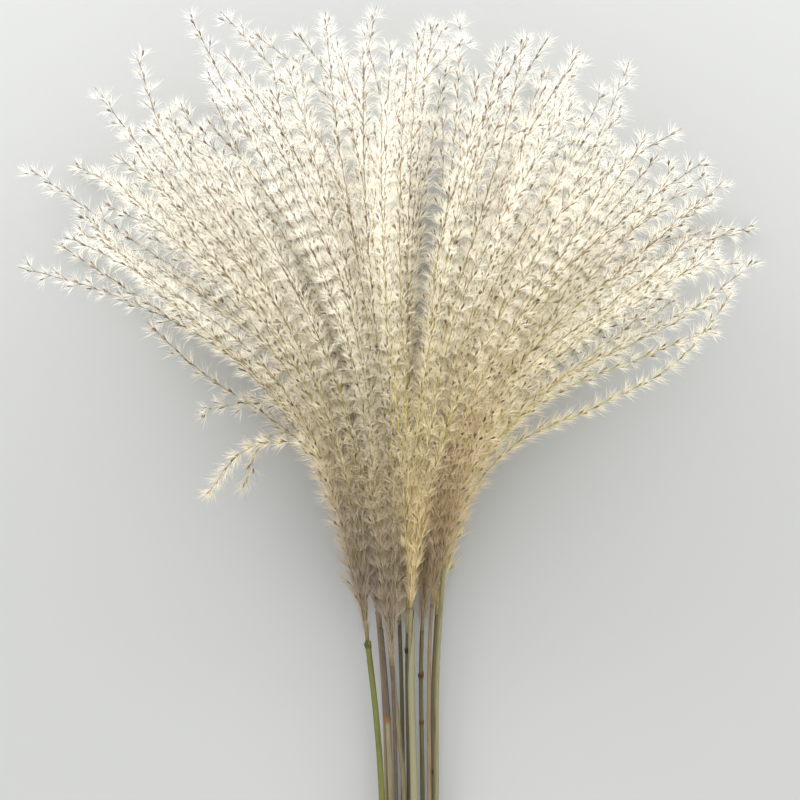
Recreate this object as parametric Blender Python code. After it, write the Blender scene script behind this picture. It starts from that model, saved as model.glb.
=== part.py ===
"""A cut bunch of twelve dried reeds, lying on a surface.

Metres, with +Z up. The bunch lies along Y: the cut ends of its stems are at -Y and its plumes
spread towards +Y. The origin is on the surface, under the middle of the bunch.

A plume is one solid: a short axis that gives off four side branches (racemes) at each of four
whorls and ends in one more. Every raceme follows a smooth curve from its whorl to its tip. Those
that would meet are raised or lowered a little, and each is as full as the room around it allows.
"""

import random
from collections import namedtuple
from math import cos, pi, radians, sin

import bmesh
import bpy
import numpy as np
from mathutils import Quaternion, Vector

MM = 0.001
SEED = 29

# Small steps that show which way a line goes: a share of its length, and a length
STEP_SHARE = 0.02
STEP = 1 * MM

# The stems, from their cut ends to the neck where the plumes begin
CUT_END_Y = -300 * MM
UNEVEN_CUT = 8 * MM
CUT_SCATTER = 0.618
MIDDLE_Y = -140 * MM
NECK_X = 5 * MM
NECK_Y = -60 * MM
ROW_RISE_AT_CUT = {"low": 0.0, "middle": 3.2 * MM, "high": 6.4 * MM}
ROW_RISE_AT_MIDDLE = {"low": 1.6 * MM, "middle": 7.8 * MM, "high": 13.4 * MM}
STEM_SIDES = 8
STEM_TAPER = 0.86
STEM_SAMPLES = 40
NEAR_PLUMES = 30 * MM
JOINT_SWELL = 1.2
JOINT_HALF_LENGTH = 2.2 * MM

# A leaf sheath: a sleeve round the stem, open at its slanting mouth
SHEATH_SIDES = 8
SHEATH_GAP = 0.3 * MM
SHEATH_WALL = 0.6 * MM
SHEATH_SLANT = 5 * MM

# The room that the plumes fill, measured up from the surface
LOWEST = 3.3 * MM
NECK_DEPTH = 28 * MM
PLUME_DEPTH = 124 * MM
FULL_DEPTH_AT = 240 * MM
NODDING_DEPTH = 22 * MM
NODDING_FROM = 250 * MM
NODDING_OVER = 130 * MM
SIDE_SLOPE = 0.45
WIDEST_BEARING = radians(50)
ROW_LIFT = {"low": -0.8, "middle": 0.0, "high": 0.8}

# One plume: its whorls, at shares of the line from its foot to its end, and its racemes
WHORL_SHARES = (0.03, 0.08, 0.13, 0.18)
WHORL_GAP = 0.05
RACEMES_A_WHORL = 4
AXIS_SIDES = 4
AXIS_SAMPLES = 8
AXIS_RADII = (1.7 * MM, 1.5 * MM, 1.3 * MM, 1.1 * MM)
AXIS_INSET = 0.42 * MM
AXIS_BASE_GAP = 0.3 * MM
BASE_LEAN = 0.20
RACEME_LEAN = 0.34
COLUMN_STEP = radians(2.9)
COLUMN_SPREAD = 0.3
LIFT_STEP = 0.2
LIFT_STEP_LEAST = 0.8
LIFT_POWER = 3
LEAVING_OFFSET = 1.9 * MM
LEAVING_SHARE = 0.09
HANDLE_SHARE = 0.47
REACH_MIDDLE = 358 * MM
REACH_SIDE = 272 * MM
SHORTEST_SHARE = 0.76
END_SHARE = 0.93
NOD = 1.45
WAYWARD = radians(13)

# One raceme: its half width at shares of its length, and the limits of that width
RING_SHARES = (0.09, 0.31, 0.56, 0.82)
RING_RADII = (1.1 * MM, 2.1 * MM, 3.0 * MM, 3.1 * MM)
ROOT_RADIUS = 0.6 * MM
THINNEST = 0.35 * MM
SKIN_GAP = 0.3 * MM
FILL_ROUNDS = 14
SHRINK_MOST = 0.55
SHRINK_LEAST = 0.98

# A raceme runs from ring to ring, and each run is taken as straight pieces
RUNS = len(RING_RADII) + 1
PIECES = 2
TINY = 1e-18

# How racemes that would meet are raised and lowered
SETTLE_ROUNDS = 50
SETTLE_SPACE = 2.8 * MM
SETTLE_STEP = 0.35
SETTLE_MOST = 0.06
LEAST_LEVERAGE = 0.3
HIGHEST_LIFT = 1.0
LOWEST_LIFT = -1.0

SHARP_ANGLE = radians(50)
ROUGHNESS = 0.7

Reed = namedtuple("Reed", "number width middle_x base_x base_y bearing row joints sheath colour")
Raceme = namedtuple("Raceme", "start lean tip heading handle side up lift_from lift_to")
Seen = namedtuple("Seen", "bearing reach heading")

# Each reed: its stem's width, its X at the middle of the bunch, the foot of its plume (X and Y),
# the bearing of its plume in degrees, its row, the Y of its joints and the two ends of its leaf
# sheath, in millimetres
REEDS = (
    Reed(1, 3.8, -7.2, -15.0, -55.1, -31, "high", (-58.2, -226), None, "green_straw"),
    Reed(2, 3.4, -1.9, -7.7, -48.4, -26.5, "middle", (-100.6, -251), None, "mauve_straw"),
    Reed(3, 2.4, 1.1, -1.1, -69.6, -11, "high", (-190,), None, "mauve_straw"),
    Reed(4, 3.2, 5.5, -4.8, -28.9, -6, "middle", (-168, -278), None, "cream_straw"),
    Reed(5, 2.6, 4.9, 2.9, -44.3, -14, "low", (-206,), None, "green_straw"),
    Reed(6, 3.4, 11.4, 9.3, -36.6, 9, "high", (-252,), (-252, -47), "cream_straw"),
    Reed(7, 2.8, 16.1, 15.8, -50.0, 14, "middle", (-76.2, -102.3, -222), None, "olive_straw"),
    Reed(8, 2.6, 20.0, 21.7, -32.4, 27, "high", (-35.0, -178), None, "tan_straw"),
    Reed(9, 2.0, 21.9, 24.0, -41.0, 30, "low", (-131, -262), None, "olive_straw"),
    Reed(10, 3.2, 23.9, 28.0, -13.5, 33, "middle", (-199,), None, "cream_straw"),
    Reed(11, 1.9, 8.1, 7.4, -52.0, 10, "low", (-62.3, -155, -270), None, "olive_straw"),
    Reed(12, 2.6, -4.3, -9.6, -40.0, -30, "low", (-214,), None, "tan_straw"),
)

# The racemes that make the outline of the bunch: bearing from the neck in degrees, reach from
# the neck in millimetres, and the way the tip points in degrees
OUTLINE = (
    Seen(-44.7, 303, -76),
    Seen(-40.2, 301, -55),
    Seen(-37.6, 343, -54),
    Seen(-33.9, 331, -66),
    Seen(-33.2, 298, -66),
    Seen(-28.9, 359, -36),
    Seen(-26.4, 329, -36),
    Seen(-24.4, 364, -14),
    Seen(-20.5, 318, -40),
    Seen(-18.8, 376, -26),
    Seen(-16.3, 347, -38),
    Seen(-15.6, 371, -44),
    Seen(-13.4, 358, -55),
    Seen(-13.3, 322, -22),
    Seen(-10.0, 353, -38),
    Seen(-2.7, 363, 11),
    Seen(0.8, 330, 5),
    Seen(3.3, 350, 30),
    Seen(5.6, 338, 48),
    Seen(7.2, 326, -5),
    Seen(11.2, 346, 32),
    Seen(17.7, 302, 47),
    Seen(18.0, 313, 84),
    Seen(20.7, 354, 20),
    Seen(27.6, 329, 62),
    Seen(27.9, 299, 40),
    Seen(31.2, 294, 68),
    Seen(37.8, 298, 71),
    Seen(39.8, 311, 88),
    Seen(40.7, 289, 82),
    Seen(41.5, 290, 46),
    Seen(42.3, 271, 28),
)

# Thin racemes that hang back down at the left edge of the bunch
HANGING = (
    Seen(-49.3, 139, -142),
    Seen(-42.5, 129, -160),
    Seen(-38.5, 174, -96),
)
HANGING_HANDLE = 0.78

COLOURS = {
    "green_straw": (0.20, 0.26, 0.04),
    "mauve_straw": (0.14, 0.10, 0.10),
    "cream_straw": (0.50, 0.44, 0.25),
    "olive_straw": (0.14, 0.13, 0.05),
    "tan_straw": (0.33, 0.23, 0.12),
    "sheath_straw": (0.56, 0.50, 0.30),
    "plume_silk": (0.74, 0.66, 0.52),
}


def clear_scene():
    for item in list(bpy.data.objects):
        bpy.data.objects.remove(item, do_unlink=True)


def smooth(value):
    """Rises gently from 0 to 1 as value goes from 0 to 1."""
    value = np.clip(value, 0.0, 1.0)
    return value * value * (3 - 2 * value)


def mix(first, last, share):
    return first + (last - first) * share


def toward(angle):
    """A unit step in plan. Angle 0 is along the bunch, and positive angles turn to +X."""
    return np.array((sin(angle), cos(angle), 0.0))


def cubic(controls, shares):
    """Points at shares of a Bezier curve with four control points."""
    a, b, c, d = controls
    t = np.asarray(shares, dtype=float)[:, None]
    s = 1 - t
    return a * s**3 + b * (3 * s * s * t) + c * (3 * s * t * t) + d * t**3


def depth_over(x, y):
    """How deep the plumes lie over a place in plan."""
    across = x - NECK_X
    along = y - NECK_Y
    away = np.hypot(across, along)
    spread = smooth(away / FULL_DEPTH_AT)
    depth = mix(NECK_DEPTH, PLUME_DEPTH, spread)
    depth = depth - NODDING_DEPTH * smooth((away - NODDING_FROM) / NODDING_OVER)
    aside = np.arctan2(np.abs(across), np.maximum(along, STEP)) / WIDEST_BEARING
    return depth * (1 - SIDE_SLOPE * spread * np.minimum(aside, 1.0) ** 2)


def lifted(shares):
    """How much of its change in lift a raceme has made at shares of its length."""
    return 1 - (1 - shares) ** LIFT_POWER


def raceme_points(raceme, shares):
    """Points along the middle of a raceme. Its lift runs from -1, on the surface, to 1, on top."""
    shares = np.asarray(shares, dtype=float)
    span = np.linalg.norm(raceme.tip - raceme.start) * raceme.handle
    controls = (
        raceme.start,
        raceme.start + toward(raceme.lean) * span,
        raceme.tip - toward(raceme.heading) * span,
        raceme.tip,
    )
    points = cubic(controls, shares)
    leaving = smooth(shares / LEAVING_SHARE) * LEAVING_OFFSET
    points += toward(raceme.lean + pi / 2) * (raceme.side * leaving)[:, None]
    lift = mix(raceme.lift_from, raceme.lift_to, lifted(shares))
    depth = depth_over(points[:, 0], points[:, 1])
    points[:, 2] = LOWEST + (depth - LOWEST) * (lift + 1) / 2 + raceme.up * leaving
    points[:, 2] = np.maximum(points[:, 2], LOWEST)
    return points


def usual_reach(bearing):
    return mix(REACH_MIDDLE, REACH_SIDE, (bearing / WIDEST_BEARING) ** 2)


def neck_point(bearing, reach):
    return np.array((NECK_X, NECK_Y, 0.0)) + toward(bearing) * reach


def middle_raceme(reed):
    """The raceme that carries the axis of a plume on to its end."""
    bearing = radians(reed.bearing)
    lift = ROW_LIFT[reed.row]
    return Raceme(
        start=np.array((reed.base_x * MM, reed.base_y * MM, 0.0)),
        lean=bearing * BASE_LEAN,
        tip=neck_point(bearing, usual_reach(bearing) * END_SHARE),
        heading=bearing * NOD,
        handle=HANDLE_SHARE,
        side=0,
        up=0,
        lift_from=lift,
        lift_to=lift,
    )


def side_racemes(reed, chance):
    """The sixteen side branches of a plume, whorl by whorl, the outermost whorl first."""
    axis = middle_raceme(reed)
    racemes = []
    for whorl, share in enumerate(WHORL_SHARES):
        foot, ahead = raceme_points(axis, (share, share + STEP_SHARE))
        start = np.array((foot[0], foot[1], 0.0))
        axis_lean = np.arctan2(ahead[0] - foot[0], ahead[1] - foot[1])
        column = len(WHORL_SHARES) - whorl - 0.5
        for side in (-1, 1):
            for up in (-1, 1):
                spread = chance.uniform(-COLUMN_SPREAD, COLUMN_SPREAD)
                turn = side * (column + spread) * COLUMN_STEP
                bearing = radians(reed.bearing) + turn
                reach = usual_reach(bearing) * chance.uniform(SHORTEST_SHARE, 1.0)
                lift = axis.lift_to + up * LIFT_STEP * chance.uniform(LIFT_STEP_LEAST, 1.0)
                racemes.append(
                    Raceme(
                        start=start,
                        lean=axis_lean + turn * RACEME_LEAN,
                        tip=neck_point(bearing, reach),
                        heading=bearing * NOD + chance.uniform(-WAYWARD, WAYWARD),
                        handle=HANDLE_SHARE,
                        side=side,
                        up=up,
                        lift_from=axis.lift_from,
                        lift_to=lift,
                    )
                )
    return racemes


def tip_bearing(raceme):
    return np.arctan2(raceme.tip[0] - NECK_X, raceme.tip[1] - NECK_Y)


def place_seen(racemes, seen, taken, handle):
    """Gives the free side branch that is nearest to a bearing the reach and tip seen there."""
    bearing = radians(seen.bearing)
    free = [key for key in racemes if key not in taken]
    key = min(free, key=lambda each: abs(tip_bearing(racemes[each]) - bearing))
    racemes[key] = racemes[key]._replace(
        tip=neck_point(bearing, seen.reach * MM),
        heading=radians(seen.heading),
        handle=handle,
    )
    taken.add(key)


def first_share(key):
    """Where a raceme begins on its own curve: the end raceme begins at the last whorl."""
    return WHORL_SHARES[-1] if key[1] == "end" else 0.0


def ring_shares(key):
    start = first_share(key)
    return [mix(start, 1.0, share) for share in RING_SHARES]


def pieces_of(key, raceme):
    """The straight pieces of a raceme: their ends, and the shares of its length at the ends."""
    corners = [first_share(key), *ring_shares(key), 1.0]
    points = raceme_points(raceme, corners)
    shares = np.interp(piece_ends(), range(RUNS + 1), corners)
    line = np.stack([np.interp(shares, corners, points[:, axis]) for axis in range(3)], axis=1)
    return line[:-1], line[1:], shares[:-1], shares[1:]


def piece_ends():
    """Where the straight pieces of a raceme end, counted in runs from its root."""
    return np.linspace(0, RUNS, RUNS * PIECES + 1)


def stem_pieces(reed):
    """The straight pieces of a stem near the plumes and of its plume's axis, with half widths."""
    stem = stem_line(reed)
    stem = stem[stem[:, 1] > NECK_Y - NEAR_PLUMES]
    shares = np.linspace(0, WHORL_SHARES[-1], AXIS_SAMPLES)
    axis = raceme_points(middle_raceme(reed), shares)
    line = np.concatenate([stem, axis[1:]])
    widths = np.full(len(line), AXIS_RADII[0])
    for index, point in enumerate(stem):
        widths[index] = stem_radius(reed, point[1])
        if reed.sheath and point[1] < reed.sheath[1] * MM + SHEATH_SLANT:
            widths[index] += SHEATH_GAP + SHEATH_WALL
    return line[:-1], line[1:], np.maximum(widths[:-1], widths[1:])


def near_pairs(starts, ends, owners, plumes, rooted, reach):
    """Pairs of pieces with different owners whose boxes come within reach of each other."""
    low = np.minimum(starts, ends) - reach / 2
    high = np.maximum(starts, ends) + reach / 2
    meet = owners[:, None] < owners[None]
    meet &= ~((plumes[:, None] == plumes[None]) & (rooted[:, None] | rooted[None]))
    for axis in range(3):
        meet &= low[:, None, axis] <= high[None, :, axis]
        meet &= low[None, :, axis] <= high[:, None, axis]
    return np.nonzero(meet)


def closest(starts, ends, first, second):
    """Where two pieces of each pair come closest: the share along each, and both points."""
    way_a = ends[first] - starts[first]
    way_b = ends[second] - starts[second]
    apart = starts[first] - starts[second]
    aa, bb, ab = (way_a**2).sum(1), (way_b**2).sum(1), (way_a * way_b).sum(1)
    a_apart, b_apart = (way_a * apart).sum(1), (way_b * apart).sum(1)
    spread = np.maximum(aa * bb - ab**2, TINY)
    along_a = np.clip((ab * b_apart - a_apart * bb) / spread, 0, 1)
    along_b = np.clip((ab * along_a + b_apart) / bb, 0, 1)
    along_a = np.clip((ab * along_b - a_apart) / aa, 0, 1)
    point_a = starts[first] + way_a * along_a[:, None]
    point_b = starts[second] + way_b * along_b[:, None]
    return along_a, along_b, point_a, point_b


class Crowd:
    """All the racemes, stems and axes as straight pieces, to find where they come close."""

    def __init__(self, racemes, reach):
        self.keys = list(racemes)
        parts = [pieces_of(key, racemes[key]) for key in self.keys]
        still = [stem_pieces(reed) for reed in REEDS]
        count = RUNS * PIECES
        self.starts = np.concatenate([part[0] for part in parts + still])
        self.ends = np.concatenate([part[1] for part in parts + still])
        self.share_a = np.concatenate([part[2] for part in parts])
        self.share_b = np.concatenate([part[3] for part in parts])
        self.moving = len(self.share_a)
        fixed = [len(self.keys) + index for index, part in enumerate(still) for _ in part[0]]
        self.owners = np.concatenate([np.repeat(np.arange(len(self.keys)), count), fixed])
        plumes = [key[0] for key in self.keys for _ in range(count)]
        plumes += [reed.number for reed, part in zip(REEDS, still) for _ in part[0]]
        rooted = np.tile(np.arange(count) < PIECES, len(self.keys))
        rooted = np.concatenate([rooted, np.ones(len(fixed), dtype=bool)])
        self.still_widths = np.concatenate([part[2] for part in still])
        self.first, self.second = near_pairs(
            self.starts, self.ends, self.owners, np.array(plumes), rooted, reach
        )
        found = closest(self.starts, self.ends, self.first, self.second)
        self.along_a, self.along_b, self.point_a, self.point_b = found
        self.gaps = np.linalg.norm(self.point_a - self.point_b, axis=1)


def settle(racemes):
    """Raises and lowers racemes that would meet, a little in each round."""
    for _ in range(SETTLE_ROUNDS):
        crowd = Crowd(racemes, SETTLE_SPACE)
        close = crowd.gaps < SETTLE_SPACE
        changes = np.zeros(len(crowd.keys))
        rises = np.where(crowd.point_a[:, 2] >= crowd.point_b[:, 2], 1, -1)
        sides = ((crowd.first, crowd.along_a, rises), (crowd.second, crowd.along_b, -rises))
        for pieces, along, way in sides:
            able = close & (pieces < crowd.moving)
            piece = pieces[able]
            share = mix(crowd.share_a[piece], crowd.share_b[piece], along[able])
            points = mix(crowd.starts[piece], crowd.ends[piece], along[able][:, None])
            depth = depth_over(points[:, 0], points[:, 1]) - LOWEST
            leverage = depth / 2 * np.maximum(lifted(share), LEAST_LEVERAGE)
            push = way[able] * (SETTLE_SPACE - crowd.gaps[able]) * SETTLE_STEP / leverage
            np.add.at(changes, crowd.owners[piece], push)
        for key, change in zip(crowd.keys, np.clip(changes, -SETTLE_MOST, SETTLE_MOST)):
            lift = np.clip(racemes[key].lift_to + change, LOWEST_LIFT, HIGHEST_LIFT)
            racemes[key] = racemes[key]._replace(lift_to=float(lift))
    return racemes


def all_racemes():
    """Every raceme of the bunch, by its reed's number and its place in the plume."""
    chance = random.Random(SEED)
    racemes = {}
    for reed in REEDS:
        for place, raceme in enumerate(side_racemes(reed, chance)):
            racemes[reed.number, place] = raceme
        racemes[reed.number, "end"] = middle_raceme(reed)
    taken = {(reed.number, "end") for reed in REEDS}
    for seen in OUTLINE:
        place_seen(racemes, seen, taken, HANDLE_SHARE)
    for seen in HANGING:
        place_seen(racemes, seen, taken, HANGING_HANDLE)
    return settle(racemes)


def stem_line(reed):
    """Samples along a stem from its cut end to the foot of its plume."""
    foot, ahead = raceme_points(middle_raceme(reed), (0.0, STEP_SHARE))
    cut_y = CUT_END_Y + UNEVEN_CUT * (reed.number * CUT_SCATTER % 1)
    radius = reed.width * MM / 2
    x = reed.middle_x * MM
    cut = np.array((x, cut_y, radius + ROW_RISE_AT_CUT[reed.row]))
    middle = np.array((x, MIDDLE_Y, radius + ROW_RISE_AT_MIDDLE[reed.row]))
    along = (foot - cut) / np.linalg.norm(foot - cut)
    leaving = (ahead - foot) / np.linalg.norm(ahead - foot)
    lower_reach = np.linalg.norm(middle - cut) / 3
    upper_reach = np.linalg.norm(foot - middle) / 3
    lower = (cut, mix(cut, middle, 1 / 3), middle - along * lower_reach, middle)
    upper = (middle, middle + along * upper_reach, foot - leaving * upper_reach, foot)
    shares = np.linspace(0, 1, STEM_SAMPLES)
    return np.concatenate([cubic(lower, shares), cubic(upper, shares[1:])])


def stem_points(reed, heights_y):
    """The middle of a stem at each Y."""
    line = stem_line(reed)
    return np.stack([np.interp(heights_y, line[:, 1], line[:, axis]) for axis in range(3)], axis=1)


def stem_radius(reed, y):
    line = stem_line(reed)
    share = (y - line[0, 1]) / (line[-1, 1] - line[0, 1])
    return reed.width * MM / 2 * mix(1.0, STEM_TAPER, share)


def room_around(racemes):
    """The half width that the room leaves each raceme at each of its rings."""
    crowd = Crowd(racemes, 2 * max(RING_RADII))
    count = len(crowd.keys)
    rings = np.tile(np.array([ROOT_RADIUS, *RING_RADII, 0.0]), (count, 1))
    for _ in range(FILL_ROUNDS):
        line = np.stack([np.interp(piece_ends(), range(RUNS + 1), ring) for ring in rings])
        low = np.concatenate([line[:, :-1].ravel(), crowd.still_widths])
        high = np.concatenate([line[:, 1:].ravel(), crowd.still_widths])
        width_a = mix(low[crowd.first], high[crowd.first], crowd.along_a)
        width_b = mix(low[crowd.second], high[crowd.second], crowd.along_b)
        still_b = crowd.second >= crowd.moving
        taken = np.where(still_b, width_b, 0.0) + SKIN_GAP
        wanted = np.where(still_b, width_a, width_a + width_b)
        room = (crowd.gaps - taken) / np.maximum(wanted, TINY)
        tight = room < 1
        for pieces in (crowd.first, crowd.second):
            able = tight & (pieces < crowd.moving)
            owner = crowd.owners[pieces[able]]
            run = (pieces[able] % (RUNS * PIECES)) // PIECES
            factor = np.clip(room[able], SHRINK_MOST, SHRINK_LEAST)
            for ring in (run, run + 1):
                inner = (ring > 0) & (ring < RUNS)
                places = (owner[inner], ring[inner])
                np.minimum.at(rings, places, rings[places] * factor[inner])
        rings[:, 1:RUNS] = np.maximum(rings[:, 1:RUNS], THINNEST)
    return {key: list(rings[index, 1:RUNS]) for index, key in enumerate(crowd.keys)}


def new_material(name, colour):
    material = bpy.data.materials.new(name)
    material.use_nodes = True
    shader = material.node_tree.nodes["Principled BSDF"]
    shader.inputs["Base Color"].default_value = (*colour, 1.0)
    shader.inputs["Roughness"].default_value = ROUGHNESS
    shader.inputs["Metallic"].default_value = 0.0
    return material


def finish_object(name, bm, colour_name):
    """Makes an object of the finished mesh, smooth across its soft edges."""
    bmesh.ops.recalc_face_normals(bm, faces=bm.faces)
    mesh = bpy.data.meshes.new(name)
    bm.to_mesh(mesh)
    bm.free()
    mesh.shade_smooth()
    mesh.set_sharp_from_angle(angle=SHARP_ANGLE)
    material = new_material(f"{name}_{colour_name}", COLOURS[colour_name])
    mesh.materials.append(material)
    item = bpy.data.objects.new(name, mesh)
    bpy.context.collection.objects.link(item)
    return item


def ring_corners(centre, along, sides, radius):
    """The corners of a ring that stands square to a direction."""
    centre = Vector(centre)
    along = Vector(along).normalized()
    right = along.cross(Vector((0, 0, 1))).normalized()
    up = right.cross(along).normalized()
    corners = []
    for index in range(sides):
        angle = 2 * pi * index / sides
        corners.append(centre + (right * cos(angle) + up * sin(angle)) * radius)
    return corners


def add_loops(bm, rings):
    """Joins rings of corners with faces, and returns the rings as vertices."""
    loops = [[bm.verts.new(corner) for corner in ring] for ring in rings]
    for first, second in zip(loops, loops[1:]):
        for index in range(len(first)):
            after = (index + 1) % len(first)
            bm.faces.new((first[index], first[after], second[after], second[index]))
    return loops


def add_tube(bm, rings):
    """A closed tube through rings of corners. Returns the face that closes its last ring."""
    loops = add_loops(bm, rings)
    bm.faces.new(list(reversed(loops[0])))
    return bm.faces.new(loops[-1])


def stem_stations(reed):
    """Where the rings of a stem stand, in Y, and how much the stem swells there."""
    line = stem_line(reed)
    cut, foot = line[0, 1], line[-1, 1]
    plain = [cut, mix(cut, MIDDLE_Y, 0.5), MIDDLE_Y, mix(MIDDLE_Y, foot, 0.5), foot - AXIS_BASE_GAP]
    stations = [(y, 1.0) for y in plain]
    for joint in reed.joints:
        middle = joint * MM
        stations += [(middle - JOINT_HALF_LENGTH, 1.0), (middle, JOINT_SWELL)]
        stations += [(middle + JOINT_HALF_LENGTH, 1.0)]
    return sorted(stations)


def straight_rings(reed, stations, sides, extra):
    """Rings at stations of Y and swelling, on the straight runs between a stem's own rings."""
    own = np.array(stem_stations(reed))[:, 0]
    corners = stem_points(reed, own)

    def on_runs(places):
        return np.stack([np.interp(places, own, corners[:, axis]) for axis in range(3)], axis=1)

    places = np.array([y for y, _ in stations])
    ways = on_runs(places + STEP) - on_runs(places - STEP)
    rings = []
    for (y, swell), centre, along in zip(stations, on_runs(places), ways):
        radius = stem_radius(reed, y) * swell + extra
        rings.append(ring_corners(centre, along, sides, radius))
    return rings


def build_stem(reed):
    """A straw from its cut end to its plume, a little swollen at each joint."""
    bm = bmesh.new()
    add_tube(bm, straight_rings(reed, stem_stations(reed), STEM_SIDES, 0.0))
    return finish_object(f"reed_{reed.number:02d}_stem", bm, reed.colour)


def build_sheath(reed):
    """A leaf sheath: a sleeve that clasps the stem from a joint up to its slanting mouth."""
    low = reed.sheath[0] * MM + JOINT_HALF_LENGTH + SHEATH_GAP
    high = reed.sheath[1] * MM
    between = [station for station in stem_stations(reed) if low < station[0] < high]
    stations = [(low, 1.0), *between, (high, 1.0)]
    inside = straight_rings(reed, stations, SHEATH_SIDES, SHEATH_GAP)
    outside = straight_rings(reed, stations, SHEATH_SIDES, SHEATH_GAP + SHEATH_WALL)
    for ring in (inside[-1], outside[-1]):
        for index, corner in enumerate(ring):
            corner.y += SHEATH_SLANT / 2 * cos(2 * pi * index / SHEATH_SIDES)
    bm = bmesh.new()
    inner = add_loops(bm, inside)
    outer = add_loops(bm, outside)
    for first, second in ((inner[0], outer[0]), (inner[-1], outer[-1])):
        for index in range(SHEATH_SIDES):
            after = (index + 1) % SHEATH_SIDES
            bm.faces.new((first[index], first[after], second[after], second[index]))
    return finish_object(f"reed_{reed.number:02d}_sheath", bm, "sheath_straw")


def grow(bm, face, points, radii):
    """Draws a square face out through points, and returns the face that ends the limb."""
    behind = face.calc_center_median()
    arm = face.verts[0].co - behind
    facing = face.normal.copy()
    for here, ahead, radius in zip(points, points[1:], radii):
        along = (ahead - behind).normalized()
        arm.rotate(facing.rotation_difference(along))
        face = bmesh.ops.extrude_discrete_faces(bm, faces=[face])["faces"][0]
        corner = arm.normalized() * radius
        quarter = Quaternion(along, pi / 2)
        for vert in face.verts:
            vert.co = here + corner
            corner = quarter @ corner
        facing = along
        behind = here
    face.normal_update()
    return face


def grow_raceme(bm, face, raceme, key, radii):
    """Draws a face of the axis out into a raceme with a pointed tip."""
    points = [Vector(point) for point in raceme_points(raceme, [*ring_shares(key), 1.0])]
    last = grow(bm, face, points, radii)
    tip = bmesh.ops.extrude_discrete_faces(bm, faces=[last])["faces"][0]
    bmesh.ops.pointmerge(bm, verts=tip.verts[:], merge_co=points[-1])


def whorl_faces(faces, centre, right):
    """The four faces round the axis, by the side and the way up that each looks to."""
    found = {}
    for face in faces:
        way = face.calc_center_median() - centre
        found[1 if way.dot(right) > 0 else -1, 1 if way.z > 0 else -1] = face
    return found


def build_plume(reed, racemes, radii):
    """One plume: its axis, four whorls of four racemes, and the raceme at the end."""
    bm = bmesh.new()
    shares = (0.0, *WHORL_SHARES, WHORL_SHARES[-1] + WHORL_GAP)
    places = [Vector(point) for point in raceme_points(middle_raceme(reed), shares)]
    along = (places[1] - places[0]).normalized()
    foot = places[0] + along * AXIS_BASE_GAP
    foot_radius = reed.width * MM / 2 * STEM_TAPER
    rings = [
        ring_corners(foot, along, AXIS_SIDES, foot_radius),
        ring_corners(places[1], along, AXIS_SIDES, AXIS_RADII[0]),
    ]
    face = add_tube(bm, rings)
    bmesh.ops.recalc_face_normals(bm, faces=bm.faces)
    for whorl, radius in enumerate(AXIS_RADII):
        if whorl:
            face = grow(bm, face, places[whorl + 1 : whorl + 3], [radius])
        centre = face.calc_center_median()
        right = face.normal.cross(Vector((0, 0, 1)))
        inset = bmesh.ops.inset_individual(bm, faces=[face], thickness=AXIS_INSET)
        found = whorl_faces(inset["faces"], centre, right)
        for place in range(RACEMES_A_WHORL * whorl, RACEMES_A_WHORL * (whorl + 1)):
            key = (reed.number, place)
            raceme = racemes[key]
            grow_raceme(bm, found[raceme.side, raceme.up], raceme, key, radii[key])
    key = (reed.number, "end")
    grow_raceme(bm, face, racemes[key], key, radii[key])
    return finish_object(f"reed_{reed.number:02d}_plume", bm, "plume_silk")


def main():
    clear_scene()
    racemes = all_racemes()
    radii = room_around(racemes)
    for reed in REEDS:
        build_stem(reed)
        build_plume(reed, racemes, radii)
        if reed.sheath:
            build_sheath(reed)


main()
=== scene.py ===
"""The looks of a cut bunch of twelve dried reeds that lies on a pale floor.

Metres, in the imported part's own frame: the cut ends of the stems are at -Y, the plumes spread
towards +Y, and the floor is at Z = 0. The lines of the straws and of every raceme are read from
the part's solids, so each visible straw and raceme lies in the solid that carries it.
"""

from collections import namedtuple
from math import pi, radians

import bpy
import numpy as np
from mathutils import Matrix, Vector


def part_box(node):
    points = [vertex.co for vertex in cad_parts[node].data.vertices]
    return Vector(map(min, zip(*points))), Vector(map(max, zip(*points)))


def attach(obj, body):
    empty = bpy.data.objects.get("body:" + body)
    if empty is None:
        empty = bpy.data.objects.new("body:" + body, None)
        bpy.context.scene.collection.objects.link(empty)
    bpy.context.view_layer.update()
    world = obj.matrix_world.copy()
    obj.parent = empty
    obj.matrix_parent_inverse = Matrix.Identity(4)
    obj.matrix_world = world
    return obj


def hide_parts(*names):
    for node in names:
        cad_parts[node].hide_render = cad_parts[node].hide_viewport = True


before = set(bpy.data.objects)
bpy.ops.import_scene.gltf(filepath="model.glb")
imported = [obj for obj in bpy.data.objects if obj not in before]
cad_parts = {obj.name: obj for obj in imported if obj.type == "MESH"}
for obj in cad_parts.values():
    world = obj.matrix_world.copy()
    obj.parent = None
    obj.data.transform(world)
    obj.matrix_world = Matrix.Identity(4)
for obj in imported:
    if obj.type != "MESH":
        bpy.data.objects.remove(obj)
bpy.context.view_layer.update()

MM = 0.001
SAME_PLACE = 0.01 * MM
LOWEST = 0.1 * MM

# The photograph's frame on the bunch
VIEW_WIDTH = 446 * MM
VIEW_CENTRE = (3.3 * MM, 81 * MM)
VIEW_HEIGHT = 60 * MM
CAMERA_AWAY = 2.4
SENSOR_WIDTH = 36

# Rings of corners in the part's solids
STRAW_SOLID_SIDES = 8
RACEME_SOLID_RINGS = 5
SHORTEST_RACEME = 80 * MM
RACEMES_A_WHORL = 4
PLUME_REACH = 350 * MM

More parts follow.
